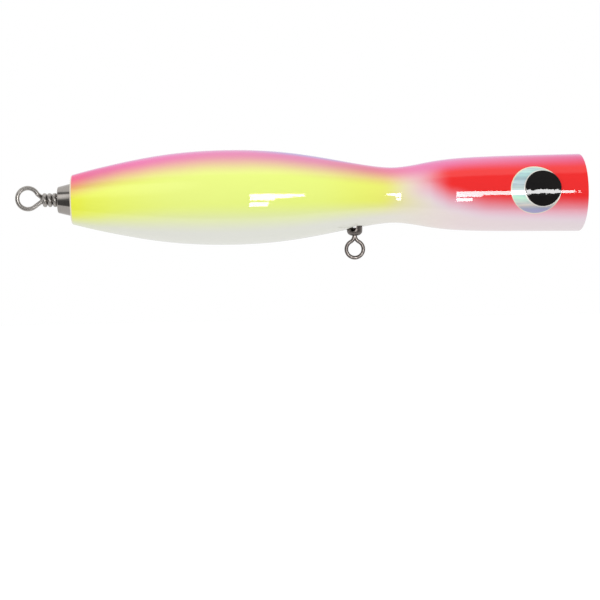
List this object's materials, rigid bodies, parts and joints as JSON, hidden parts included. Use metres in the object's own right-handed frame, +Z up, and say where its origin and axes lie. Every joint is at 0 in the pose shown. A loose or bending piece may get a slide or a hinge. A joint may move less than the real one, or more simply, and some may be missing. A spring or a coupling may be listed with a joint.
{
  "type": "topwater popper",
  "caption": "Slender turned fishing lure with a cupped mouth, narrow waist and round foil eyes, on a through-wire with an eye at nose and tail and a barrel swivel under the belly.",
  "frame": {"origin": "centre of the line-tie eye, the wire eye inside the cupped mouth", "axes": "+X forwards out of the mouth along the through-wire, +Y to the lure's left, +Z up through its back"},
  "size_m": [0.2238, 0.037, 0.0435],
  "materials": {
    "turned_wood": "turned and sealed light hardwood",
    "plug_wood": "turned hardwood plug, glued in",
    "painted_lacquer": "airbrushed paint under gloss clear epoxy",
    "stainless_wire": "drawn stainless spring wire",
    "turned_steel": "turned and polished stainless steel",
    "swivel_steel": "dark nickelled steel",
    "eye_foil": "foil-faced film under clear epoxy",
    "eye_pupil": "domed gloss black resin",
    "lead": "cast lead slug, unseen"
  },
  "bodies": {
    "hull": {"body_core": "turned_wood", "lacquer_coat": "painted_lacquer", "through_wire": "stainless_wire", "tail_ferrule": "turned_steel", "mouth_ferrule": "turned_steel", "left_eye_foil": "eye_foil", "right_eye_foil": "eye_foil", "left_eye_pupil": "eye_pupil", "right_eye_pupil": "eye_pupil", "ballast_slug_rear": "lead", "ballast_slug_middle": "lead", "ballast_slug_front": "lead", "ballast_plug_rear": "plug_wood", "ballast_plug_middle": "plug_wood", "ballast_plug_front": "plug_wood"},
    "upper_eye": {"swivel_upper_eye": "swivel_steel"},
    "barrel": {"swivel_barrel": "swivel_steel"},
    "lower_eye": {"swivel_lower_eye": "swivel_steel"}
  },
  "joints": [
    {"name": "swivel_swing", "type": "hinge", "parent": "hull", "child": "upper_eye", "pos_m": [-0.08746, 0, 0], "axis": [1, 0, 0], "range_deg": [-6.5, 6.5]},
    {"name": "barrel_turn", "type": "hinge", "parent": "upper_eye", "child": "barrel", "pos_m": [-0.08746, 0, -0.00707], "axis": [0, 0, 1], "continuous": true},
    {"name": "lower_eye_turn", "type": "hinge", "parent": "barrel", "child": "lower_eye", "pos_m": [-0.08746, 0, -0.01562], "axis": [0, 0, 1], "continuous": true}
  ]
}
